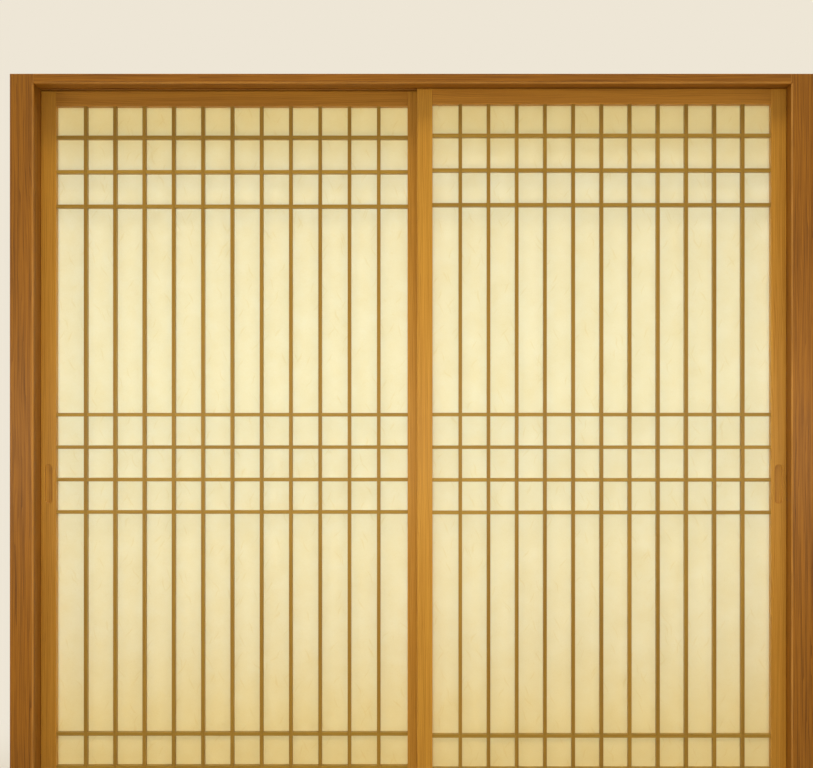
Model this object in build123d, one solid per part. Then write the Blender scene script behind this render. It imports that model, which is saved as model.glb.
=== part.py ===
"""A pair of sliding lattice panels backed with paper, in a grooved timber frame.

Millimetres, +Z up. X runs along the tracks, -Y is the room side. The origin is the middle of the
frame's underside. The right panel runs in the front track and the left panel in the rear one. Both
are shown closed, each against its own jamb.
"""

from build123d import *
from dataclasses import dataclass
import os

# Frame
clear_height = 1984.0       # sill top to head soffit
sill_thickness = 38.0
head_thickness = 24.5
jamb_width = 60.0
front_lip = 62.0            # frame's room face to the front panel's face
back_lip = 15.0             # rear panel's back to the frame's back
frame_arris = 4.0
housing_depth = 12.0        # head and sill are let this far into the jambs
housing_stop = 18.0         # and stop this far from the jambs' room and wall edges

# Tracks
groove_width = 21.0
head_groove_depth = 15.0
sill_groove_depth = 3.0
groove_side_clearance = 0.75
glide_clearance = 0.3       # under the panel's foot
sill_shoulder_gap = 1.0     # panel's lower shoulder above the sill
lift_gap = 3.5              # panel's upper shoulder below the soffit, so that it lifts out
lift_headroom = 4.0         # tongue's top below the head groove's floor

# Screw holes through the jambs, hidden by the closed panels
screws_per_jamb = 4
screw_hole_radius = 2.75
screw_head_radius = 5.5
screw_end_distance = 142.0  # from the sill top and from the soffit

# Panels
panel_thickness = 30.0
panel_gap = 3.0
left_width = 993.6
right_width = 954.6
meeting_overlap = 15.5
end_clearance = 0.5         # closed panel to its jamb
stile_width = 40.0
top_rail_drop = 42.0        # soffit to the rail's lower edge
bottom_rail_rise = 54.5     # sill top to the rail's upper edge
panel_arris = 1.0
rail_tenon_thickness = 10.0
rail_tenon_length = 28.0
rail_tenon_margin = 6.0     # wood left above and below a rail's tenon
mortise_end_gap = 0.5       # glue space at the bottom of every mortise

# Lattice
bar_width = 9.0
bar_depth = 24.0
bar_tenon_length = 8.0
bar_tenon_shoulder = 4.0    # step at the front and back of each stub end
cells_across = 12
end_cell_extra = 3.5        # the cells beside the stiles are this much wider
top_band_bars = 3
top_band_offset = 80.2      # rail's edge to the nearest bar's centre
top_band_pitch = 89.7
middle_band_bars = 4
middle_band_height = 886.4  # sill top to the band's lowest bar
middle_band_pitch = 84.5
bottom_band_bars = 3
bottom_band_offset = 81.0
bottom_band_pitch = 86.6

# Paper, glued to the back of the lattice and into a shallow recess round it
paper_thickness = 0.3
paper_recess_depth = 1.5
paper_lap = 6.0             # recess over the stiles and rails
paper_edge_gap = 1.0

# Finger pulls, routed into the face of each outer stile
pull_length = 100.0
pull_width = 18.0
pull_depth = 8.0
pull_rim = 0.8
pull_height = 960.0         # sill top to the pull's middle

# Heights
sill_top = sill_thickness
soffit = sill_top + clear_height
frame_height = soffit + head_thickness
foot = sill_top - sill_groove_depth + glide_clearance
lower_shoulder = sill_top + sill_shoulder_gap
upper_shoulder = soffit - lift_gap
tongue_top = soffit + head_groove_depth - lift_headroom
light_bottom = sill_top + bottom_rail_rise
light_top = soffit - top_rail_drop

# Depths, measured from the frame's middle
track_pitch = panel_thickness + panel_gap
frame_depth = front_lip + track_pitch + panel_thickness + back_lip
frame_front = -frame_depth / 2
frame_back = frame_depth / 2
front_track = frame_front + front_lip
rear_track = front_track + track_pitch
tongue_thickness = groove_width - 2 * groove_side_clearance
bar_setback = panel_thickness - paper_recess_depth - bar_depth


@dataclass
class Panel:
    """One panel: where it stands when closed, and the side of its outer stile."""

    name: str
    left: float
    front: float
    width: float
    outer_side: str

    @property
    def right(self):
        return self.left + self.width

    @property
    def back(self):
        return self.front + panel_thickness

    @property
    def light(self):
        """The left and right edges of the space between the stiles."""
        return self.left + stile_width, self.right - stile_width

    @property
    def bars_x(self):
        """Centres of the upright bars: even cells, with the two beside the stiles a little wider."""
        left, right = self.light
        pitch = (right - left - 2 * end_cell_extra + bar_width) / cells_across
        first = left + end_cell_extra - bar_width / 2 + pitch
        return [first + i * pitch for i in range(cells_across - 1)]

    @property
    def bar_front(self):
        return self.front + bar_setback

    @property
    def bar_back(self):
        return self.bar_front + bar_depth


def bar_heights():
    """Centres of the level bars in the top, middle and bottom bands, from the top down."""
    top = [light_top - top_band_offset - i * top_band_pitch for i in range(top_band_bars)]
    middle = [sill_top + middle_band_height + i * middle_band_pitch for i in range(middle_band_bars)]
    bottom = [light_bottom + bottom_band_offset + i * bottom_band_pitch for i in range(bottom_band_bars)]
    return top + middle[::-1] + bottom[::-1]


def block(low, high):
    """A rectangular block between two opposite corners."""
    size = [b - a for a, b in zip(low, high)]
    return Pos(*low) * Box(*size, align=(Align.MIN, Align.MIN, Align.MIN))


def arrised(solid, along, size):
    """Chamfer the two room-side edges of a plain block that run along one axis."""
    return chamfer(solid.edges().filter_by(along).group_by(Axis.Y)[0], size)


def save(solid, name):
    export_step(solid, f"parts/{name}.step")
    print(name, len(solid.solids()), "solid", round(solid.volume), "mm3")


os.makedirs("parts", exist_ok=True)

# The closed panels reach from jamb to jamb, less a clearance at each end, and lap at the middle.
clear_width = left_width + right_width - meeting_overlap + 2 * end_clearance
jamb_inner = clear_width / 2
jamb_outer = jamb_inner + jamb_width
left_edge = end_clearance - jamb_inner
right_edge = jamb_inner - end_clearance - right_width
left_panel = Panel("left", left_edge, rear_track, left_width, "left")
right_panel = Panel("right", right_edge, front_track, right_width, "right")
level_bars = bar_heights()


# Frame: grooved head and sill between two full-height jambs

def groove_cuts(low, high):
    """Both grooves, between two heights, from end to end of the head or sill."""
    middles = [track + panel_thickness / 2 for track in (front_track, rear_track)]
    reach = jamb_inner + housing_depth
    return [
        block((-reach, middle - groove_width / 2, low), (reach, middle + groove_width / 2, high))
        for middle in middles
    ]


def housed_ends(low, high, extra=0.0):
    """The ends of the head or sill inside the jambs; extra deepens them into housings."""
    front = frame_front + housing_stop
    back = frame_back - housing_stop
    reach = jamb_inner + housing_depth + extra
    return [
        block((-reach, front, low), (-jamb_inner, back, high)),
        block((jamb_inner, front, low), (reach, back, high)),
    ]


def cross_piece(low, high, arris_end):
    """The head or sill before grooving, with an arris on one room-side edge: 0 lower, -1 upper."""
    beam = block((-jamb_inner, frame_front, low), (jamb_inner, frame_back, high))
    room_edges = beam.edges().filter_by(Axis.X).group_by(Axis.Y)[0].sort_by(Axis.Z)
    return chamfer(room_edges[arris_end], frame_arris) + housed_ends(low, high)


def head_rail():
    """The head, with two deep grooves below."""
    return cross_piece(soffit, frame_height, 0) - groove_cuts(soffit, soffit + head_groove_depth)


def sill():
    """The sill, with two shallow grooves above."""
    return cross_piece(0, sill_top, -1) - groove_cuts(sill_top - sill_groove_depth, sill_top)


def screw_heights():
    """Screw centres, evenly spaced between the ends of the clear height."""
    span = clear_height - 2 * screw_end_distance
    step = span / (screws_per_jamb - 1)
    return [sill_top + screw_end_distance + i * step for i in range(screws_per_jamb)]


def screw_hole(side, y, z):
    """A countersunk hole through a jamb, with its wide mouth on the doorway side."""
    sink = screw_head_radius - screw_hole_radius
    shank = Cylinder(screw_hole_radius, jamb_width, align=(Align.CENTER, Align.CENTER, Align.MIN))
    mouth = Cone(screw_head_radius, screw_hole_radius, sink, align=(Align.CENTER, Align.CENTER, Align.MIN))
    return Plane(origin=(side * jamb_inner, y, z), z_dir=(side, 0, 0)) * (shank + mouth)


def jamb(side, screw_y):
    """A full-height jamb, housed for the head and sill: side is -1 at the left, 1 at the right."""
    low, high = sorted((side * jamb_inner, side * jamb_outer))
    post = block((low, frame_front, 0), (high, frame_back, frame_height)) - arris_cut(side)
    post -= housed_ends(soffit, frame_height, mortise_end_gap)
    post -= housed_ends(0, sill_top, mortise_end_gap)
    return post - [screw_hole(side, screw_y, z) for z in screw_heights()]


def arris_cut(side):
    """The stopped arris on a jamb's inner room edge, between sill and soffit."""
    corner = side * jamb_inner
    profile = Polyline(
        (corner, frame_front),
        (corner + side * frame_arris, frame_front),
        (corner, frame_front + frame_arris),
        close=True,
    )
    return Pos(0, 0, sill_top) * extrude(make_face(profile), clear_height, dir=(0, 0, 1))


# Panels: two stiles, two rails, a half-lapped lattice and a sheet of paper

def shoulder_cuts(panel, left, right):
    """What is cut from the front and back of a panel's ends to leave its tongues."""
    step = (panel_thickness - tongue_thickness) / 2
    faces = ((panel.front, panel.front + step), (panel.back - step, panel.back))
    ends = ((foot, lower_shoulder), (upper_shoulder, tongue_top))
    return [
        block((left, front, low), (right, back, high))
        for front, back in faces
        for low, high in ends
    ]


def paper_recess(panel):
    """The shallow recess in the back of the stiles and rails that the paper's border lies in."""
    left, right = panel.light
    return block(
        (left - paper_lap, panel.bar_back, light_bottom - paper_lap),
        (right + paper_lap, panel.back, light_top + paper_lap),
    )


def rail_tenons(panel, low, high, extra=0.0):
    """The tenons on both ends of a rail; extra deepens them into mortises."""
    middle = (panel.front + panel.back) / 2
    front, back = middle - rail_tenon_thickness / 2, middle + rail_tenon_thickness / 2
    left, right = panel.light
    reach = rail_tenon_length + extra
    low, high = low + rail_tenon_margin, high - rail_tenon_margin
    return [
        block((left - reach, front, low), (left, back, high)),
        block((right, front, low), (right + reach, back, high)),
    ]


def top_rail_tenons(panel, extra=0.0):
    return rail_tenons(panel, light_top, upper_shoulder, extra)


def bottom_rail_tenons(panel, extra=0.0):
    return rail_tenons(panel, lower_shoulder, light_bottom, extra)


def level_bar_ends(panel, z, extra=0.0):
    """The stub tenons of one level bar; extra deepens them into mortises."""
    front, back = panel.bar_front + bar_tenon_shoulder, panel.bar_back - bar_tenon_shoulder
    low, high = z - bar_width / 2, z + bar_width / 2
    left, right = panel.light
    reach = bar_tenon_length + extra
    return [
        block((left - reach, front, low), (left, back, high)),
        block((right, front, low), (right + reach, back, high)),
    ]


def upright_bar_ends(panel, x, extra=0.0):
    """The stub tenons of one upright bar; extra deepens them into mortises."""
    front, back = panel.bar_front + bar_tenon_shoulder, panel.bar_back - bar_tenon_shoulder
    left, right = x - bar_width / 2, x + bar_width / 2
    reach = bar_tenon_length + extra
    return [
        block((left, front, light_bottom - reach), (right, back, light_bottom)),
        block((left, front, light_top), (right, back, light_top + reach)),
    ]


def finger_pull(panel):
    """The routed recess, with round ends and an eased rim, in the outer stile's face."""
    outer = panel.left if panel.outer_side == "left" else panel.right - stile_width
    mouth = Plane(
        origin=(outer + stile_width / 2, panel.front, sill_top + pull_height),
        x_dir=(0, 0, 1),
        z_dir=(0, 1, 0),
    )
    recess = extrude(mouth * SlotOverall(pull_length, pull_width), pull_depth)
    wide = mouth * SlotOverall(pull_length + 2 * pull_rim, pull_width + 2 * pull_rim)
    inner = mouth.offset(pull_rim) * SlotOverall(pull_length, pull_width)
    return recess + loft([wide.face(), inner.face()])


def stile(panel, side):
    """An upright of the panel's border, tongued at both ends and mortised on its inner edge."""
    left = panel.left if side == "left" else panel.right - stile_width
    right = left + stile_width
    post = arrised(block((left, panel.front, foot), (right, panel.back, tongue_top)), Axis.Z, panel_arris)
    post -= shoulder_cuts(panel, left, right) + [paper_recess(panel)]
    mortises = top_rail_tenons(panel, mortise_end_gap) + bottom_rail_tenons(panel, mortise_end_gap)
    for z in level_bars:
        mortises += level_bar_ends(panel, z, mortise_end_gap)
    post -= mortises
    return post - finger_pull(panel) if side == panel.outer_side else post


def rail(panel, low, high, tenons):
    """A cross piece of the border, tenoned into the stiles and mortised for the upright bars."""
    left, right = panel.light
    beam = arrised(block((left, panel.front, low), (right, panel.back, high)), Axis.X, panel_arris)
    beam -= shoulder_cuts(panel, left, right) + [paper_recess(panel)]
    mortises = []
    for x in panel.bars_x:
        mortises += upright_bar_ends(panel, x, mortise_end_gap)
    beam -= mortises
    return beam + tenons


def upright_bar(panel, x):
    """An upright bar, whole at the front and notched half through from the back."""
    left, right = x - bar_width / 2, x + bar_width / 2
    middle = panel.bar_front + bar_depth / 2
    bar = block((left, panel.bar_front, light_bottom), (right, panel.bar_back, light_top))
    bar -= [
        block((left, middle, z - bar_width / 2), (right, panel.bar_back, z + bar_width / 2))
        for z in level_bars
    ]
    return bar + upright_bar_ends(panel, x)


def level_bar(panel, z):
    """A level bar, whole at the back and notched half through from the front."""
    low, high = z - bar_width / 2, z + bar_width / 2
    left, right = panel.light
    middle = panel.bar_front + bar_depth / 2
    bar = block((left, panel.bar_front, low), (right, panel.bar_back, high))
    bar -= [
        block((x - bar_width / 2, panel.bar_front, low), (x + bar_width / 2, middle, high))
        for x in panel.bars_x
    ]
    return bar + level_bar_ends(panel, z)


def paper(panel):
    left, right = panel.light
    reach = paper_lap - paper_edge_gap
    return block(
        (left - reach, panel.bar_back, light_bottom - reach),
        (right + reach, panel.bar_back + paper_thickness, light_top + reach),
    )


save(head_rail(), "head_rail")
save(sill(), "sill")
save(jamb(-1, rear_track + panel_thickness / 2), "left_jamb")
save(jamb(1, front_track + panel_thickness / 2), "right_jamb")

for panel in (left_panel, right_panel):
    save(stile(panel, "left"), f"{panel.name}_panel_left_stile")
    save(stile(panel, "right"), f"{panel.name}_panel_right_stile")
    save(rail(panel, light_top, tongue_top, top_rail_tenons(panel)), f"{panel.name}_panel_top_rail")
    save(rail(panel, foot, light_bottom, bottom_rail_tenons(panel)), f"{panel.name}_panel_bottom_rail")
    for number, x in enumerate(panel.bars_x, 1):
        save(upright_bar(panel, x), f"{panel.name}_panel_upright_bar_{number:02d}")
    for number, z in enumerate(level_bars, 1):
        save(level_bar(panel, z), f"{panel.name}_panel_level_bar_{number:02d}")
    save(paper(panel), f"{panel.name}_panel_paper")
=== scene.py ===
# %% [markdown]
# # A pair of sliding lattice panels with paper, in their frame
#
# The real thing is a pair of light timber panels that slide past each other in a grooved frame. Each
# panel is a border of stiles and rails, a lattice of thin half-lapped bars, and a sheet of paper
# pasted to the back. Daylight comes through the paper, and the wood stands brown against it.
#
# The construction is already drawn elsewhere at its real size, so this lesson is about the finish:
# eased edges, wood grain that runs the right way along every piece, and paper that lets light
# through. We begin by loading the drawn pieces. They are never moved, only dressed.

# %% load the drawn pieces
import math

import bpy
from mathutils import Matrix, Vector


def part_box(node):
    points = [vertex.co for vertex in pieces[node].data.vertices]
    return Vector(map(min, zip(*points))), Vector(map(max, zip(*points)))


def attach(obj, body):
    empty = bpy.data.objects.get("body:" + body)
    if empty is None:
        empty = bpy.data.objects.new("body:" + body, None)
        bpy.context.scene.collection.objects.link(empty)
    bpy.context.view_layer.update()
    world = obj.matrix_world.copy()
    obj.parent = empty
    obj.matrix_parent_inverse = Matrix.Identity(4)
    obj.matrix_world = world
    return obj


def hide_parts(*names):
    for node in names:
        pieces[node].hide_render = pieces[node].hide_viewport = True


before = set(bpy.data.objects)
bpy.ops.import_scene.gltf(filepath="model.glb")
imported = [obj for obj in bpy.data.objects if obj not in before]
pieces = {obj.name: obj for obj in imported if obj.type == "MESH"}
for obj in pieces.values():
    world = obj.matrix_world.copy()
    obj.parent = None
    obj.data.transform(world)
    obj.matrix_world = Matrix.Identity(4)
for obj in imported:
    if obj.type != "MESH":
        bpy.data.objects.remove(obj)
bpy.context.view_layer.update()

# %% [markdown]
# ## The camera
#
# The picture was taken level, from a little right of the middle, with the lens raised so that the
# upright edges stay parallel. A tilted camera would make them lean. The lens is therefore kept
# level here too, and the frame is shifted instead. The focal length in pixels and the pixel that
# lies straight ahead of the lens give both.

# %% camera
PICTURE_WIDTH = 813
PICTURE_HEIGHT = 768
FOCAL_PIXELS = 1923
AHEAD_PIXEL = (420, 435)
CAMERA_PLACE = (0.0195, -4.975, 1.125)

camera_data = bpy.data.cameras.new("camera")
camera_data.lens = camera_data.sensor_width * FOCAL_PIXELS / PICTURE_WIDTH
camera_data.shift_x = (PICTURE_WIDTH / 2 - AHEAD_PIXEL[0]) / PICTURE_WIDTH
camera_data.shift_y = (AHEAD_PIXEL[1] - PICTURE_HEIGHT / 2) / PICTURE_WIDTH
camera = bpy.data.objects.new("camera", camera_data)
camera.location = CAMERA_PLACE
camera.rotation_euler = (math.radians(90), 0, 0)
bpy.context.scene.collection.objects.link(camera)
bpy.context.scene.camera = camera
bpy.context.scene.view_settings.view_transform = "Standard"
print(f"lens {camera_data.lens:.1f} mm, shift {camera_data.shift_x:.3f}, {camera_data.shift_y:.3f}")

# %% [markdown]
# ## Small helpers
#
# A material is a web of nodes, and these helpers keep the web readable. The first adds a node and
# fills its inputs. Each of the next ones adds a single node and gives back its result. The last turns
# a colour as a picture holds it, from 0 to 255, into the linear values that the renderer works with.

# %% node helpers
def add(tree, kind, inputs=None, **settings):
    """Add a node, set it up, then fill its inputs with plain values or other nodes' sockets."""
    made = tree.nodes.new(kind)
    for name, value in settings.items():
        setattr(made, name, value)
    for name, value in (inputs or {}).items():
        if isinstance(value, bpy.types.NodeSocket):
            tree.links.new(value, made.inputs[name])
        else:
            made.inputs[name].default_value = value
    return made


def calculate(tree, operation, *values, clamp=False):
    """The result of one Math node."""
    inputs = dict(enumerate(values))
    return add(tree, "ShaderNodeMath", inputs, operation=operation, use_clamp=clamp).outputs[0]


def remap(tree, value, low, high, new_low=0.0, new_high=1.0):
    """Map a value smoothly from one range onto another, and hold it at the ends."""
    ranges = {"Value": value, "From Min": low, "From Max": high, "To Min": new_low, "To Max": new_high}
    return add(tree, "ShaderNodeMapRange", ranges, interpolation_type="SMOOTHSTEP").outputs["Result"]


def mix_colour(tree, factor, first, second, blend="MIX"):
    """One colour over another. A Mix node's colour sockets are its seventh and eighth."""
    inputs = {0: factor, 6: first, 7: second}
    return add(tree, "ShaderNodeMix", inputs, data_type="RGBA", blend_type=blend).outputs[2]


def noise(tree, place, size, detail=2.0, roughness=0.5):
    """A noise whose lumps are about as large as size, in metres, when place is in metres."""
    inputs = {"Vector": place, "Scale": 1 / size, "Detail": detail, "Roughness": roughness}
    return add(tree, "ShaderNodeTexNoise", inputs).outputs["Fac"]


def about_zero(tree, value):
    """A noise that swings about zero, made from one that swings about a half."""
    return calculate(tree, "SUBTRACT", value, 0.5)


def colour(red, green, blue):
    """A colour written from 0 to 255, as linear values with full alpha."""
    def linear(value):
        value /= 255
        return value / 12.92 if value <= 0.04045 else ((value + 0.055) / 1.055) ** 2.4
    return (linear(red), linear(green), linear(blue), 1.0)


print(f"a middle grey of 128 is {colour(128, 128, 128)[0]:.2f} in linear light")

# %% [markdown]
# An effect that several materials share is kept as a node group, with named sockets to put values in
# and take results out. The growing of a mesh is kept the same way, so one helper makes both kinds.

# %% node group helper
def new_group(name, kind, inputs, outputs):
    """A new node group. Its inputs and outputs are given by name, each with what it holds."""
    tree = bpy.data.node_groups.new(name, kind)
    for direction, sockets in (("INPUT", inputs), ("OUTPUT", outputs)):
        for socket_name, content in sockets.items():
            tree.interface.new_socket(
                name=socket_name,
                in_out=direction,
                socket_type=f"NodeSocket{content}",
            )
    return tree


print("group helper ready")

# %% [markdown]
# ## Stage and light
#
# The panels stand on a plain pale floor under an even sky of light. Soft lamps do the rest. A long
# one hangs in front at mid height, so that the wood is brightest there and deepens towards the head
# and the floor, as in the picture. One from above leaves the rails under the head in its shade, and
# one at each side lights the jambs.
#
# Two lamps stand behind the panels, where the window would be, and make the paper glow. The near one
# is slim, a little above the middle and cooler than the room's light, so the paper is palest there.
# The far one is broad and warm, and reaches the top and the bottom of the sheets.
#
# What the camera sees beyond the floor is a colour of its own, so that a brighter background never
# puts more light on the wood. Seen straight, the floor takes half of that colour too, and far from
# the panels it fades into it. Near them it still shows their shadow.

# %% floor
BACKDROP = colour(238, 230, 214)
FLOOR_REACH = 40.0
FLOOR_ROUGHNESS = 0.8
FLOOR_HAZE = 0.5
FADE_START = 0.9
FADE_END = 3.0


def floor_paint():
    """Pale paint that a camera sees fade into the backdrop, away from the panels."""
    material = bpy.data.materials.new("floor paint")
    material.use_nodes = True
    tree = material.node_tree
    shader = tree.nodes["Principled BSDF"]
    shader.inputs["Base Color"].default_value = BACKDROP
    shader.inputs["Roughness"].default_value = FLOOR_ROUGHNESS
    place = add(tree, "ShaderNodeTexCoord").outputs["Object"]
    distance = add(tree, "ShaderNodeVectorMath", {0: place}, operation="LENGTH").outputs["Value"]
    faded = remap(tree, distance, FADE_START, FADE_END, FLOOR_HAZE, 1.0)
    seen = add(tree, "ShaderNodeLightPath").outputs["Is Camera Ray"]
    share = calculate(tree, "MULTIPLY", faded, seen)
    haze = add(tree, "ShaderNodeEmission", {"Color": BACKDROP, "Strength": 1.0})
    both = add(tree, "ShaderNodeMixShader", {0: share, 1: shader.outputs[0], 2: haze.outputs[0]})
    tree.links.new(both.outputs[0], tree.nodes["Material Output"].inputs["Surface"])
    return material


floor_corners = [(-1, -1), (1, -1), (1, 1), (-1, 1)]
floor_points = [(x * FLOOR_REACH, y * FLOOR_REACH, 0) for x, y in floor_corners]
floor_mesh = bpy.data.meshes.new("floor")
floor_mesh.from_pydata(floor_points, [], [(0, 1, 2, 3)])
floor_mesh.materials.append(floor_paint())
floor = bpy.data.objects.new("floor", floor_mesh)
bpy.context.scene.collection.objects.link(floor)
print("floor", FLOOR_REACH * 2, "m across")

# %% sky
SKY_LIGHT = colour(255, 236, 204)
SKY_STRENGTH = 0.24


def even_sky():
    """A sky that lights evenly, and that cameras, gloss and glass see as the backdrop."""
    world = bpy.data.worlds.new("sky")
    world.use_nodes = True
    tree = world.node_tree
    tree.nodes.clear()
    rays = add(tree, "ShaderNodeLightPath").outputs
    seen = calculate(tree, "ADD", rays["Is Camera Ray"], rays["Is Glossy Ray"])
    seen = calculate(tree, "ADD", seen, rays["Is Transmission Ray"], clamp=True)
    lit = add(tree, "ShaderNodeBackground", {"Color": SKY_LIGHT, "Strength": SKY_STRENGTH})
    backdrop = add(tree, "ShaderNodeBackground", {"Color": BACKDROP, "Strength": 1.0})
    chosen = add(tree, "ShaderNodeMixShader", {0: seen, 1: lit.outputs[0], 2: backdrop.outputs[0]})
    add(tree, "ShaderNodeOutputWorld", {"Surface": chosen.outputs[0]})
    return world


bpy.context.scene.world = even_sky()
print("sky strength", SKY_STRENGTH)

# %% lamps
PANEL_MIDDLE = (0, 0, 1.03)
ROOM_HEIGHT = 1.1
WINDOW_HEIGHT = 1.3
WARM = colour(255, 236, 202)
DAYLIGHT = colour(173, 222, 255)
SUNSET = colour(255, 214, 142)

LAMPS = {
    "room lamp": {
        "place": (0, -1.3, ROOM_HEIGHT),
        "aim": (0, 0, ROOM_HEIGHT),
        "size": (3.0, 0.4),
        "watts": 12.4,
        "tint": WARM,
    },
    "left lamp": {
        "place": (-2.6, -2.0, 1.6),
        "aim": PANEL_MIDDLE,
        "size": (1.2, 1.2),
        "watts": 9,
        "tint": WARM,
    },
    "right lamp": {
        "place": (2.8, -1.6, 1.6),
        "aim": PANEL_MIDDLE,
        "size": (1.2, 1.2),
        "watts": 7,
        "tint": WARM,
    },
    "top lamp": {
        "place": (0, -1.25, 3.9),
        "aim": (0, 0, 1.6),
        "size": (3.0, 0.6),
        "watts": 28,
        "tint": WARM,
    },
    "window light": {
        "place": (0, 1.05, WINDOW_HEIGHT),
        "aim": (0, 0, WINDOW_HEIGHT),
        "size": (3.6, 0.8),
        "watts": 22.3,
        "tint": DAYLIGHT,
    },
    "window glow": {
        "place": (0, 3.8, 1.7),
        "aim": PANEL_MIDDLE,
        "size": (4.6, 2.2),
        "watts": 45,
        "tint": SUNSET,
    },
}


def soft_lamp(name, place, aim, size, watts, tint):
    """A rectangular lamp that points at a spot and isn't seen itself."""
    data = bpy.data.lights.new(name, "AREA")
    data.shape = "RECTANGLE"
    data.size, data.size_y = size
    data.energy = watts
    data.color = tint[:3]
    lamp = bpy.data.objects.new(name, data)
    lamp.location = place
    direction = Vector(aim) - Vector(place)
    lamp.rotation_euler = direction.to_track_quat("-Z", "Y").to_euler()
    lamp.visible_camera = False
    bpy.context.scene.collection.objects.link(lamp)


for lamp_name, settings in LAMPS.items():
    soft_lamp(lamp_name, **settings)
print(len(LAMPS), "soft lamps")

# %% [markdown]
# ## Kinds of stick
#
# The drawn pieces' names say what each one is, such as left_panel_upright_bar_03. Six kinds of wooden
# stick are told apart, because each gets its own finish, and the two papers are kept out of it.

# %% kinds of stick
def is_paper(name):
    """Whether a drawn piece is a sheet of paper."""
    return name.endswith("_paper")


def is_bar(name):
    """Whether a drawn piece is a bar of the lattice."""
    return "_bar_" in name


def is_level(name):
    """Whether a stick's length runs across, as a rail's, the head's or the sill's does."""
    return "rail" in name or name == "sill" or "_level_bar_" in name


def kind_of_stick(name):
    """What kind of stick a drawn wooden piece is. The sill counts as a head."""
    if is_bar(name):
        return "level bar" if is_level(name) else "upright bar"
    if "_panel_" in name:
        return "rail" if is_level(name) else "stile"
    return "head" if is_level(name) else "jamb"


sticks = {name: piece for name, piece in pieces.items() if not is_paper(name)}
print(len(sticks), "wooden sticks of", len({kind_of_stick(name) for name in sticks}), "kinds")

# %% [markdown]
# ## Eased edges
#
# A maker never leaves a plane's sharp edge on a bar: one pass of a block plane takes it off, and that
# narrow facet is what catches the light. The drawn pieces arrive as loose triangles, so three
# modifiers do the work in turn. Weld joins the triangles, Decimate merges the flat ones into whole
# faces, and Bevel rounds what is still an edge. The drawn mesh itself is left alone.

# %% eased edges
EDGE_ANGLE = math.radians(30)
FLAT_ANGLE = math.radians(1)
WELD_DISTANCE = 0.00001
EASE_SEGMENTS = 2
EASE_FRAME = 0.0006
EASE_PANEL = 0.0004


def ease_edges(piece, width):
    """Round every edge of a drawn piece a little."""
    weld = piece.modifiers.new("weld", "WELD")
    weld.merge_threshold = WELD_DISTANCE
    flatten = piece.modifiers.new("flatten", "DECIMATE")
    flatten.decimate_type = "DISSOLVE"
    flatten.angle_limit = FLAT_ANGLE
    bevel = piece.modifiers.new("ease", "BEVEL")
    bevel.width = width
    bevel.segments = EASE_SEGMENTS
    bevel.limit_method = "ANGLE"
    bevel.angle_limit = EDGE_ANGLE
    bevel.use_clamp_overlap = False


for stick_name, stick in sticks.items():
    in_frame = kind_of_stick(stick_name) in ("jamb", "head")
    ease_edges(stick, EASE_FRAME if in_frame else EASE_PANEL)
print("edges eased on", len(sticks), "wooden sticks")

# %% [markdown]
# ## Wood grain
#
# The wood is a straight-grained softwood under a honey-coloured satin varnish. Seen close, it has
# growth rings that darken slowly and end sharply, longer streaks of tone, fine fibres, and short
# pores. Seen from across the room, each stick differs a little from its neighbour.
#
# All wooden pieces share one node group. Its grain runs along Z, and each material turns the
# coordinates first, so the grain follows the length of the stick. Every kind of mark is a noise that
# is drawn out along the grain, by squeezing the coordinates that it reads. At a squeeze of 0.02 the
# marks are fifty times as long as they are wide.

# %% marks in the grain
WANDER = {"width": 0.12, "squeeze": 0.22, "detail": 1.0}
UNEVEN_RINGS = {"width": 0.014, "squeeze": 0.05, "detail": 2.0}
STREAKS = {"width": 0.007, "squeeze": 0.02, "detail": 3.0, "roughness": 0.6}
FIBRES = {"width": 0.0009, "squeeze": 0.02, "detail": 2.0}
PORES = {"width": 0.0006, "squeeze": 0.06, "detail": 1.0}
BOARD_TONES = {"width": 0.045, "squeeze": 0.03, "detail": 0.0}


def marks(tree, place, width, squeeze, detail, roughness=0.5):
    """A noise of marks about this wide, in metres, that are drawn out along Z."""
    squeezed = {"Vector": place, "Scale": (1, 1, squeeze)}
    squeezed = add(tree, "ShaderNodeMapping", squeezed).outputs["Vector"]
    return noise(tree, squeezed, width, detail, roughness)


print(f"the streaks are about {STREAKS['width'] / STREAKS['squeeze']:.2f} m long")

# %% growth rings
RING_LEAN = 0.45
WANDER_SHIFT = 0.03
RING_UNEVENNESS = 3.0
RING_SHARPNESS = 2.5


def growth_rings(tree, place, ring_width):
    """Rings that darken slowly from 0 to 1 and then stop sharply, of differing widths."""
    # The rings lie aslant in the stick, and wander slowly along it.
    axes = add(tree, "ShaderNodeSeparateXYZ", {0: place}).outputs
    across = calculate(tree, "MULTIPLY", axes["Y"], RING_LEAN)
    across = calculate(tree, "ADD", axes["X"], across)
    wander = marks(tree, place, **WANDER)
    across = calculate(tree, "MULTIPLY_ADD", wander, WANDER_SHIFT, across)

    # Whole numbers of turns are the rings' sharp ends.
    turns = calculate(tree, "DIVIDE", across, ring_width)
    uneven = marks(tree, place, **UNEVEN_RINGS)
    turns = calculate(tree, "MULTIPLY_ADD", uneven, RING_UNEVENNESS, turns)
    return calculate(tree, "POWER", calculate(tree, "FRACT", turns), RING_SHARPNESS)


print(f"the rings lean by {math.degrees(math.atan(RING_LEAN)):.0f} degrees")

# %% wood grain group
# The noise range that makes a whole streak, and the streak that neither darkens nor pales the wood
STREAK_RANGE = (0.25, 0.75)
STREAK_MIDDLE = 0.35
# Only the peaks of the noise are pores
PORE_RANGE = (0.66, 0.78)
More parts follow.
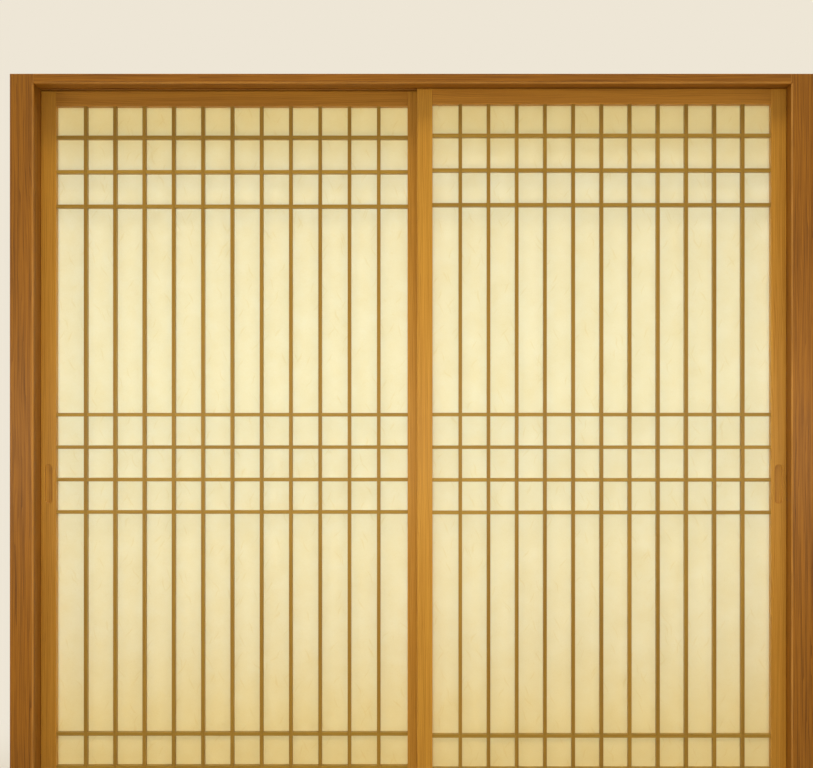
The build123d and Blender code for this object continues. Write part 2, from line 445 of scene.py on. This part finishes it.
# How much each mark darkens, roughens and lifts the surface
FIBRE_DARKNESS = 0.3
PORE_DARKNESS = 0.2
FIBRE_ROUGHNESS = 0.08
PORE_ROUGHNESS = 0.15
RING_HEIGHT = 0.3
FIBRE_HEIGHT = 0.5

WOOD_INPUTS = {
    "Place": "Vector",
    "Early wood": "Color",
    "Late wood": "Color",
    "Ring width": "Float",
    "Ring strength": "Float",
    "Streak strength": "Float",
    "Tone spread": "Float",
    "Roughness": "Float",
}
WOOD_OUTPUTS = {"Color": "Color", "Roughness": "Float", "Height": "Float"}


def wood_grain_group():
    """Colour, roughness and height of planed and varnished softwood, its grain along Z."""
    tree = new_group("wood grain", "ShaderNodeTree", WOOD_INPUTS, WOOD_OUTPUTS)
    given = add(tree, "NodeGroupInput").outputs
    place = given["Place"]
    ring = growth_rings(tree, place, given["Ring width"])
    streak = remap(tree, marks(tree, place, **STREAKS), *STREAK_RANGE)
    fibre = marks(tree, place, **FIBRES)
    pore = remap(tree, marks(tree, place, **PORES), *PORE_RANGE)
    tone = marks(tree, place, **BOARD_TONES)

    # The marks add up to one darkness, which chooses between the two colours.
    dark = calculate(tree, "MULTIPLY", ring, given["Ring strength"])
    streak = calculate(tree, "SUBTRACT", streak, STREAK_MIDDLE)
    dark = calculate(tree, "MULTIPLY_ADD", streak, given["Streak strength"], dark)
    dark = calculate(tree, "MULTIPLY_ADD", about_zero(tree, fibre), FIBRE_DARKNESS, dark)
    dark = calculate(tree, "MULTIPLY_ADD", pore, PORE_DARKNESS, dark, clamp=True)
    grain = mix_colour(tree, dark, given["Early wood"], given["Late wood"])

    # Each stick is a little lighter or darker than the next.
    brightness = calculate(tree, "MULTIPLY_ADD", about_zero(tree, tone), given["Tone spread"], 1.0)
    shade = add(tree, "ShaderNodeHueSaturation", {"Value": brightness, "Color": grain})

    # Pores and fibres dull the varnish. Rings and fibres stand a little high, and pores are pits.
    rough = calculate(tree, "MULTIPLY_ADD", pore, PORE_ROUGHNESS, given["Roughness"])
    rough = calculate(tree, "MULTIPLY_ADD", fibre, FIBRE_ROUGHNESS, rough)
    height = calculate(tree, "MULTIPLY", fibre, FIBRE_HEIGHT)
    height = calculate(tree, "MULTIPLY_ADD", ring, RING_HEIGHT, height)
    height = calculate(tree, "SUBTRACT", height, pore)
    add(tree, "NodeGroupOutput", {"Color": shade.outputs[0], "Roughness": rough, "Height": height})
    return tree


wood_grain = wood_grain_group()
print("wood grain group has", len(wood_grain.nodes), "nodes")

# %% [markdown]
# ## Worn and highlit edges
#
# The eased edges are painted paler, partly as varnish that hands and dusters have worn and partly as a
# painted highlight, and a second group finds those. Every flat side of a stick looks straight to the
# front, the side or up, so a surface that looks partly to the front and partly to a side is an edge.
# That needs no extra geometry and no slow edge search.

# %% rubbed edges group
# How far a face leans where an edge begins, and where it is wholly an edge
EDGE_LEAN = (0.1, 0.5)
# The paling comes and goes over this length, follows this range of a noise, and never falls below this
PALE_EDGE_LENGTH = 0.15
PALE_EDGE_RANGE = (0.3, 0.7)
PALE_EDGE_LEAST = 0.55


def worn_and_highlit_edges_group():
    """How far a spot lies on an eased edge, unevenly along the edge, from 0 to 1."""
    tree = new_group("rubbed edges", "ShaderNodeTree", {"Place": "Vector"}, {"Rubbed": "Float"})
    given = add(tree, "NodeGroupInput").outputs
    facing = add(tree, "ShaderNodeNewGeometry").outputs["True Normal"]
    facing = add(tree, "ShaderNodeVectorMath", {0: facing}, operation="ABSOLUTE").outputs[0]
    facing = add(tree, "ShaderNodeSeparateXYZ", {0: facing}).outputs
    sideways = calculate(tree, "MAXIMUM", facing["X"], facing["Z"])
    lean = calculate(tree, "MINIMUM", sideways, facing["Y"])
    edge = remap(tree, lean, *EDGE_LEAN)
    patchy = noise(tree, given["Place"], PALE_EDGE_LENGTH)
    patchy = remap(tree, patchy, *PALE_EDGE_RANGE, PALE_EDGE_LEAST, 1.0)
    add(tree, "NodeGroupOutput", {"Rubbed": calculate(tree, "MULTIPLY", edge, patchy)})
    return tree


worn_and_highlit_edges = worn_and_highlit_edges_group()
print("rubbed edges group has", len(worn_and_highlit_edges.nodes), "nodes")

# %% [markdown]
# ## Wooden materials
#
# The frame, the panels' borders and the lattice are the same kind of wood, cut to different
# sections. Thin bars are cut from closer-grained stock, so their rings are narrower. Upright and
# level pieces need their own material each, because the grain turns with the stick. That also lets
# them differ: the rails are painted slightly darker than the stiles, as painted shade, and the level
# bars slightly paler than the upright ones, as painted light.

# %% woods
FRAME_WOOD = {
    "Early wood": colour(167, 112, 28),
    "Late wood": colour(105, 61, 8),
    "Ring width": 0.006,
    "Ring strength": 0.5,
    "Streak strength": 0.85,
    "Tone spread": 0.2,
}
PANEL_WOOD = {
    "Early wood": colour(210, 160, 62),
    "Late wood": colour(165, 110, 28),
    "Ring width": 0.0045,
    "Ring strength": 0.45,
    "Streak strength": 0.5,
    "Tone spread": 0.25,
}
BAR_WOOD = {
    "Early wood": colour(172, 139, 57),
    "Late wood": colour(132, 96, 29),
    "Ring width": 0.0016,
    "Ring strength": 0.4,
    "Streak strength": 0.5,
    "Tone spread": 0.35,
}
# Painted shade: the rails are a darker copy of the panel wood. Painted light: the level bars are a paler
# copy of the bar wood.
SHADED_RAIL_WOOD = {**PANEL_WOOD, "Early wood": colour(199, 146, 55), "Late wood": colour(153, 98, 24)}
LIT_LEVEL_BAR_WOOD = {**BAR_WOOD, "Early wood": colour(180, 149, 63), "Late wood": colour(141, 107, 35)}

# How pale the eased edges are painted, partly as worn varnish and partly as a painted highlight:
# most on the frame and least on the lattice
FRAME_EDGE_PALING = 0.7
PANEL_EDGE_PALING = 0.35
BAR_EDGE_PALING = 0.25

WOODS = {
    "jamb": {"look": FRAME_WOOD, "level": False, "edge_paling": FRAME_EDGE_PALING},
    "head": {"look": FRAME_WOOD, "level": True, "edge_paling": FRAME_EDGE_PALING},
    "stile": {"look": PANEL_WOOD, "level": False, "edge_paling": PANEL_EDGE_PALING},
    "rail": {"look": SHADED_RAIL_WOOD, "level": True, "edge_paling": PANEL_EDGE_PALING},
    "upright bar": {"look": BAR_WOOD, "level": False, "edge_paling": BAR_EDGE_PALING},
    "level bar": {"look": LIT_LEVEL_BAR_WOOD, "level": True, "edge_paling": BAR_EDGE_PALING},
}
print(len(WOODS), "woods described")

# %% wooden materials
# The pale colour of the eased edges: worn varnish and a painted highlight
WORN_AND_HIGHLIT_WOOD = colour(216, 162, 86)
TURN_LEVEL = (0, math.radians(90), 0)
GRAIN_BUMP = 0.00008
WOOD_ROUGHNESS = 0.42
WOOD_SHINE = 0.35
VARNISH = 0.06
VARNISH_ROUGHNESS = 0.25


def wood_material(name, look, level, edge_paling):
    """Varnished wood whose grain runs upright, or along X when level."""
    material = bpy.data.materials.new(name)
    material.use_nodes = True
    tree = material.node_tree
    shader = tree.nodes["Principled BSDF"]
    place = add(tree, "ShaderNodeTexCoord").outputs["Object"]
    turned = add(tree, "ShaderNodeMapping", {"Vector": place})
    if level:
        turned.inputs["Rotation"].default_value = TURN_LEVEL
    grain_inputs = {"Place": turned.outputs[0], "Roughness": WOOD_ROUGHNESS, **look}
    grain = add(tree, "ShaderNodeGroup", grain_inputs, node_tree=wood_grain).outputs
    # Eased edges are painted paler: partly worn varnish, partly a painted highlight.
    edges = add(tree, "ShaderNodeGroup", {"Place": place}, node_tree=worn_and_highlit_edges).outputs
    paler = calculate(tree, "MULTIPLY", edges["Rubbed"], edge_paling)
    paint = mix_colour(tree, paler, grain["Color"], WORN_AND_HIGHLIT_WOOD)
    bump = add(tree, "ShaderNodeBump", {"Height": grain["Height"], "Distance": GRAIN_BUMP})
    tree.links.new(paint, shader.inputs["Base Color"])
    tree.links.new(grain["Roughness"], shader.inputs["Roughness"])
    tree.links.new(bump.outputs[0], shader.inputs["Normal"])
    shader.inputs["Specular IOR Level"].default_value = WOOD_SHINE
    shader.inputs["Coat Weight"].default_value = VARNISH
    shader.inputs["Coat Roughness"].default_value = VARNISH_ROUGHNESS
    return material


wood = {kind: wood_material(f"{kind} wood", **recipe) for kind, recipe in WOODS.items()}
for stick_name, stick in sticks.items():
    for slot in stick.material_slots:
        slot.material = wood[kind_of_stick(stick_name)]
print(len(wood), "wooden materials")

# %% [markdown]
# ## Paper
#
# The paper is long-fibred and handmade. It is thin enough to let daylight through, and against the
# light it shows soft clouds where the pulp lies thicker, and single fibres that cross it at a slant.
# A Translucent shader passes the light from behind, and has the larger share. A Principled shader
# returns the light in front. The face is creamier than what comes through, because daylight is cool
# and the room's light is warm.
#
# Its foot and the strip just under the head are painted a little darker and yellower, as painted
# shade, so the height of a spot on the sheets tells how much of that shade it takes.

# %% fibres in the paper
# How far the strokes bend sideways, and over what length
STROKE_BEND = 0.03
STROKE_BEND_SIZE = 0.05
# A stroke begins to fade at the first distance from its middle, and is gone at the second
STROKE_EDGE = (0.1, 0.42)
# How many times coarser than a hair's curls the noise is that breaks it, and where it leaves the hair
HAIR_BREAKS = 1.7
HAIR_KEPT = (0.45, 0.6)


def slanted_fibres(tree, place, angle, length, width, share):
    """A mask of scattered slim strokes that all lean one way. Only a share of them is kept."""
    turned = {"Vector": place, "Rotation": (0, math.radians(angle), 0)}
    turned = add(tree, "ShaderNodeMapping", turned).outputs[0]
    bend = about_zero(tree, noise(tree, turned, STROKE_BEND_SIZE, 1.0))
    axes = add(tree, "ShaderNodeSeparateXYZ", {0: turned}).outputs
    across = calculate(tree, "MULTIPLY_ADD", bend, STROKE_BEND, axes["X"])
    across = calculate(tree, "DIVIDE", across, width)
    along = calculate(tree, "DIVIDE", axes["Z"], length)
    flat = add(tree, "ShaderNodeCombineXYZ", {"X": across, "Y": along}).outputs[0]
    cells = {"Vector": flat, "Scale": 1.0}
    cells = add(tree, "ShaderNodeTexVoronoi", cells, voronoi_dimensions="2D").outputs
    stroke = remap(tree, cells["Distance"], *STROKE_EDGE, 1.0, 0.0)
    luck = add(tree, "ShaderNodeSeparateColor", {0: cells["Color"]}).outputs[0]
    return calculate(tree, "MULTIPLY", stroke, calculate(tree, "LESS_THAN", luck, share))


def hair_fibres(tree, place, curl, fineness):
    """Long hairs: the thin lines where a slow noise passes its middle value, broken by another."""
    off_middle = calculate(tree, "ABSOLUTE", about_zero(tree, noise(tree, place, curl, 1.0)))
    line = remap(tree, off_middle, 0.0, fineness, 1.0, 0.0)
    kept = remap(tree, noise(tree, place, curl * HAIR_BREAKS, 0.0), *HAIR_KEPT)
    return calculate(tree, "MULTIPLY", line, kept)


print("fibre helpers ready")

# %% thickness of the paper
CLOUDS = {"size": 0.05, "detail": 3.0, "roughness": 0.55}
GRIT = {"size": 0.004, "detail": 2.0, "roughness": 0.6}
BROAD_FIBRES = (
    {"angle": 24, "length": 0.06, "width": 0.006, "share": 0.06},
    {"angle": -30, "length": 0.05, "width": 0.006, "share": 0.05},
)
HAIR_FIBRES = (
    {"curl": 0.03, "fineness": 0.009},
    {"curl": 0.018, "fineness": 0.012},
)
# How much each of them thickens the paper, and how thick it is without them
CLOUD_PULP = 0.5
GRIT_PULP = 0.25
BROAD_PULP = 0.25
HAIR_PULP = 0.14
EVEN_PULP = 0.22


def thickness_of_pulp(tree, place, grit):
    """How thick the pulp lies at a spot, from 0 to 1."""
    clouds = noise(tree, place, **CLOUDS)
    broad = [slanted_fibres(tree, place, **shape) for shape in BROAD_FIBRES]
    broad = calculate(tree, "MAXIMUM", *broad)
    hairs = [hair_fibres(tree, place, **shape) for shape in HAIR_FIBRES]
    hairs = calculate(tree, "MAXIMUM", *hairs)
    thick = calculate(tree, "MULTIPLY", about_zero(tree, clouds), CLOUD_PULP)
    thick = calculate(tree, "MULTIPLY_ADD", about_zero(tree, grit), GRIT_PULP, thick)
    thick = calculate(tree, "MULTIPLY_ADD", broad, BROAD_PULP, thick)
    thick = calculate(tree, "MULTIPLY_ADD", hairs, HAIR_PULP, thick)
    return calculate(tree, "ADD", thick, EVEN_PULP, clamp=True)


print(len(BROAD_FIBRES) + len(HAIR_FIBRES), "layers of fibres in the pulp")

# %% painted shade at the paper's ends
PAPER_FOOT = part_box("left_panel_paper")[0].z
PAPER_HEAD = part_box("left_panel_paper")[1].z
# Nearer than the first distance the paper takes the painted shade fully, and beyond the second not at all
END_SHADE_OVER_FOOT = (0.15, 0.55)
END_SHADE_UNDER_HEAD = (0.03, 0.2)


def painted_end_shade(tree, place):
    """How much painted shade the paper takes at a spot, from 0 to 1, by its height."""
    height = add(tree, "ShaderNodeSeparateXYZ", {0: place}).outputs["Z"]
    over_foot = calculate(tree, "SUBTRACT", height, PAPER_FOOT)
    under_head = calculate(tree, "SUBTRACT", PAPER_HEAD, height)
    at_foot = remap(tree, over_foot, *END_SHADE_OVER_FOOT, 1.0, 0.0)
    at_head = remap(tree, under_head, *END_SHADE_UNDER_HEAD, 1.0, 0.0)
    return calculate(tree, "MAXIMUM", at_foot, at_head)


print(f"the paper reaches from {PAPER_FOOT:.3f} to {PAPER_HEAD:.3f} m")

# %% paper material
PAPER_THIN = colour(250, 249, 236)
PAPER_THICK = colour(236, 226, 190)
# The colour of the painted shade at the paper's foot and head
PAPER_END_SHADE = colour(254, 249, 233)
PAPER_FACE = colour(255, 241, 204)
PAPER_THROUGH = 0.72
PAPER_ROUGHNESS = 0.75
PAPER_SHINE = 0.3
GRIT_BUMP = 0.0001


def paper_material():
    """Long-fibred paper that light shines through."""
    material = bpy.data.materials.new("fibre paper")
    material.use_nodes = True
    tree = material.node_tree
    shader = tree.nodes["Principled BSDF"]
    place = add(tree, "ShaderNodeTexCoord").outputs["Object"]
    grit = noise(tree, place, **GRIT)
    thick = thickness_of_pulp(tree, place, grit)
    tinted = mix_colour(tree, thick, PAPER_THIN, PAPER_THICK)
    # Painted shade: the sheet is made darker and yellower at its foot and under the head.
    tinted = mix_colour(tree, painted_end_shade(tree, place), tinted, PAPER_END_SHADE, blend="MULTIPLY")
    face = mix_colour(tree, 1.0, tinted, PAPER_FACE, blend="MULTIPLY")
    bump = add(tree, "ShaderNodeBump", {"Height": grit, "Distance": GRIT_BUMP})
    tree.links.new(face, shader.inputs["Base Color"])
    tree.links.new(bump.outputs[0], shader.inputs["Normal"])
    shader.inputs["Roughness"].default_value = PAPER_ROUGHNESS
    shader.inputs["Specular IOR Level"].default_value = PAPER_SHINE
    through = add(tree, "ShaderNodeBsdfTranslucent", {"Color": tinted})
    shares = {0: PAPER_THROUGH, 1: shader.outputs[0], 2: through.outputs[0]}
    both = add(tree, "ShaderNodeMixShader", shares)
    tree.links.new(both.outputs[0], tree.nodes["Material Output"].inputs["Surface"])
    return material


fibre_paper = paper_material()
print("paper material has", len(fibre_paper.node_tree.nodes), "nodes")

# %% [markdown]
# ## The sheets
#
# Paper that is pasted down along every bar never dries quite flat. Between the bars it lifts or sinks
# by a fraction of a millimetre, and a raking light finds that. The rule is simple, so Geometry Nodes
# can follow it. A grid the size of the sheet is pushed in and out by a slow noise, less the nearer it
# is to a line of paste. Then the grid gets the paper's thickness.
#
# The lines of paste are read from the drawn bars, as a small mesh of edges that the tree measures its
# distances to. It is thrown away afterwards.

# %% lines of paste
def middle_and_ends(bar_name):
    """The line down the middle of a bar, as its two end points."""
    low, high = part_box(bar_name)
    middle = (low + high) / 2
    ends = [middle.copy(), middle.copy()]
    axis = 0 if is_level(bar_name) else 2
    ends[0][axis], ends[1][axis] = low[axis], high[axis]
    return ends


def border_lines(side, y):
    """The inner edges of a panel's border."""
    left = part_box(f"{side}_panel_left_stile")[1].x
    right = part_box(f"{side}_panel_right_stile")[0].x
    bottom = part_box(f"{side}_panel_bottom_rail")[1].z
    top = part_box(f"{side}_panel_top_rail")[0].z
    around = ((left, bottom), (right, bottom), (right, top), (left, top))
    corners = [Vector((x, y, z)) for x, z in around]
    return list(zip(corners, corners[1:] + corners[:1]))


def paste_lines(side):
    """A mesh of edges along every bar and round the border of one panel."""
    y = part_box(f"{side}_panel_paper")[0].y
    bars = [name for name in pieces if name.startswith(f"{side}_panel_") and is_bar(name)]
    lines = [middle_and_ends(name) for name in bars] + border_lines(side, y)
    points = [(end.x, y, end.z) for line in lines for end in line]
    mesh = bpy.data.meshes.new(f"{side} paste lines")
    mesh.from_pydata(points, [(i, i + 1) for i in range(0, len(points), 2)], [])
    made = bpy.data.objects.new(mesh.name, mesh)
    bpy.context.scene.collection.objects.link(made)
    return made


print(sum(is_bar(name) for name in pieces), "bars hold the paper")

# %% cockle of a pasted sheet
COCKLE_DETAIL = 1.0


def cockle_push(tree, given):
    """How far each spot of a pasted sheet is pushed along Y, from the tree's named inputs."""
    lines = add(tree, "GeometryNodeObjectInfo", {"Object": given["Paste lines"]}).outputs["Geometry"]
    nearest = add(tree, "GeometryNodeProximity", {0: lines}, target_element="EDGES").outputs["Distance"]
    free_from = calculate(tree, "MULTIPLY", given["Paste width"], 0.5)
    free = remap(tree, nearest, free_from, given["Cockle size"])
    scale = calculate(tree, "DIVIDE", 1.0, given["Cockle size"])
    waves = {"W": given["Seed"], "Scale": scale, "Detail": COCKLE_DETAIL}
    waves = add(tree, "ShaderNodeTexNoise", waves, noise_dimensions="4D").outputs[0]
    swing = calculate(tree, "MULTIPLY_ADD", waves, 2.0, -1.0)
    push = calculate(tree, "MULTIPLY", swing, free)
    push = calculate(tree, "MULTIPLY", push, given["Cockle depth"])
    return add(tree, "ShaderNodeCombineXYZ", {"Y": push}).outputs[0]


print("cockle helper ready")

# %% a tree for a pasted sheet
STAND_UP = (math.radians(-90), 0, 0)
SHEET_INPUTS = {
    "Width": "Float",
    "Height": "Float",
    "Thickness": "Float",
    "Middle": "Vector",
    "Cell": "Float",
    "Paste lines": "Object",
    "Paste width": "Float",
    "Cockle depth": "Float",
    "Cockle size": "Float",
    "Seed": "Float",
    "Paper": "Material",
}


def standing_grid(tree, given):
    """A flat upright grid of the sheet's size, in its place."""
    counts = []
    for length in ("Width", "Height"):
        cells = calculate(tree, "CEIL", calculate(tree, "DIVIDE", given[length], given["Cell"]))
        counts.append(calculate(tree, "ADD", cells, 1.0))
    shape = {"Size X": given["Width"], "Size Y": given["Height"]}
    shape.update({"Vertices X": counts[0], "Vertices Y": counts[1]})
    grid = add(tree, "GeometryNodeMeshGrid", shape).outputs["Mesh"]
    upright = {"Geometry": grid, "Translation": given["Middle"], "Rotation": STAND_UP}
    return add(tree, "GeometryNodeTransform", upright).outputs[0]


def pasted_sheet_tree():
    """A thin upright sheet, cockled between the lines where it is pasted down."""
    tree = new_group("pasted sheet", "GeometryNodeTree", SHEET_INPUTS, {"Geometry": "Geometry"})
    given = add(tree, "NodeGroupInput").outputs
    moved = {"Geometry": standing_grid(tree, given), "Offset": cockle_push(tree, given)}
    cockled = add(tree, "GeometryNodeSetPosition", moved).outputs[0]
    cockled = add(tree, "GeometryNodeSetShadeSmooth", {0: cockled, "Shade Smooth": True}).outputs[0]

    # The back and the rim are drawn out from the grid, and the grid, turned over, is the front.
    thickness = add(tree, "ShaderNodeCombineXYZ", {"Y": given["Thickness"]}).outputs[0]
    thick = {"Mesh": cockled, "Offset": thickness, "Individual": False}
    thick = add(tree, "GeometryNodeExtrudeMesh", thick).outputs
    back = {0: thick["Mesh"], "Selection": thick["Side"], "Shade Smooth": False}
    back = add(tree, "GeometryNodeSetShadeSmooth", back).outputs[0]
    front = add(tree, "GeometryNodeFlipFaces", {"Mesh": cockled}).outputs[0]
    both = add(tree, "GeometryNodeJoinGeometry")
    for half in (back, front):
        tree.links.new(half, both.inputs[0])
    closed = {"Geometry": both.outputs[0], "Distance": WELD_DISTANCE}
    closed = add(tree, "GeometryNodeMergeByDistance", closed).outputs[0]
    real = add(tree, "GeometryNodeRealizeInstances", {"Geometry": closed}).outputs[0]
    dressed = {"Geometry": real, "Material": given["Paper"]}
    dressed = add(tree, "GeometryNodeSetMaterial", dressed).outputs[0]
    add(tree, "NodeGroupOutput", {"Geometry": dressed})
    return tree


pasted_sheet = pasted_sheet_tree()
print("pasted sheet tree has", len(pasted_sheet.nodes), "nodes")

# %% [markdown]
# A tree is only a recipe. To cook it, a bare object gets the tree as a modifier, its named inputs are
# filled in, and the result is read back as a plain mesh. Each sheet then rides on its panel, and
# stands for the drawn paper.

# %% a plain mesh from a tree
def grown(name, tree, values):
    """A plain mesh object grown by a Geometry Nodes tree from its named inputs."""
    made = bpy.data.objects.new(name, bpy.data.meshes.new(name))
    bpy.context.scene.collection.objects.link(made)
    modifier = made.modifiers.new("grow", "NODES")
    modifier.node_group = tree
    sockets = {item.name: item.identifier for item in tree.interface.items_tree if item.in_out == "INPUT"}
    for socket_name, value in values.items():
        modifier[sockets[socket_name]] = value
    graph = bpy.context.evaluated_depsgraph_get()
    mesh = bpy.data.meshes.new_from_object(made.evaluated_get(graph), depsgraph=graph)
    made.modifiers.remove(modifier)
    empty_mesh, made.data = made.data, mesh
    bpy.data.meshes.remove(empty_mesh)
    mesh.name = name
    return made


print("grower ready")

# %% make the sheets
CELL = 0.012
PASTE_WIDTH = 0.009
COCKLE_DEPTH = 0.0006
COCKLE_SIZE = 0.035
SHEET_SEEDS = {"left": 3.0, "right": 11.0}


def paper_sheet(side, seed):
    """The cockled sheet that stands for a panel's drawn paper."""
    node = f"{side}_panel_paper"
    low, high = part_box(node)
    lines = paste_lines(side)
    values = {
        "Width": high.x - low.x,
        "Height": high.z - low.z,
        "Thickness": high.y - low.y,
        "Middle": ((low.x + high.x) / 2, low.y, (low.z + high.z) / 2),
        "Cell": CELL,
        "Paste lines": lines,
        "Paste width": PASTE_WIDTH,
        "Cockle depth": COCKLE_DEPTH,
        "Cockle size": COCKLE_SIZE,
        "Seed": seed,
        "Paper": fibre_paper,
    }
    sheet = grown(f"{side}_paper_sheet", pasted_sheet, values)
    line_mesh = lines.data
    bpy.data.objects.remove(lines)
    bpy.data.meshes.remove(line_mesh)
    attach(sheet, f"{side}_panel")
    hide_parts(node)
    return sheet


for side, seed in SHEET_SEEDS.items():
    sheet = paper_sheet(side, seed)
    depths = [vertex.co.y for vertex in sheet.data.vertices]
    print(sheet.name, len(sheet.data.polygons), "faces")
    print("its depth runs from", round(min(depths), 5), "to", round(max(depths), 5))
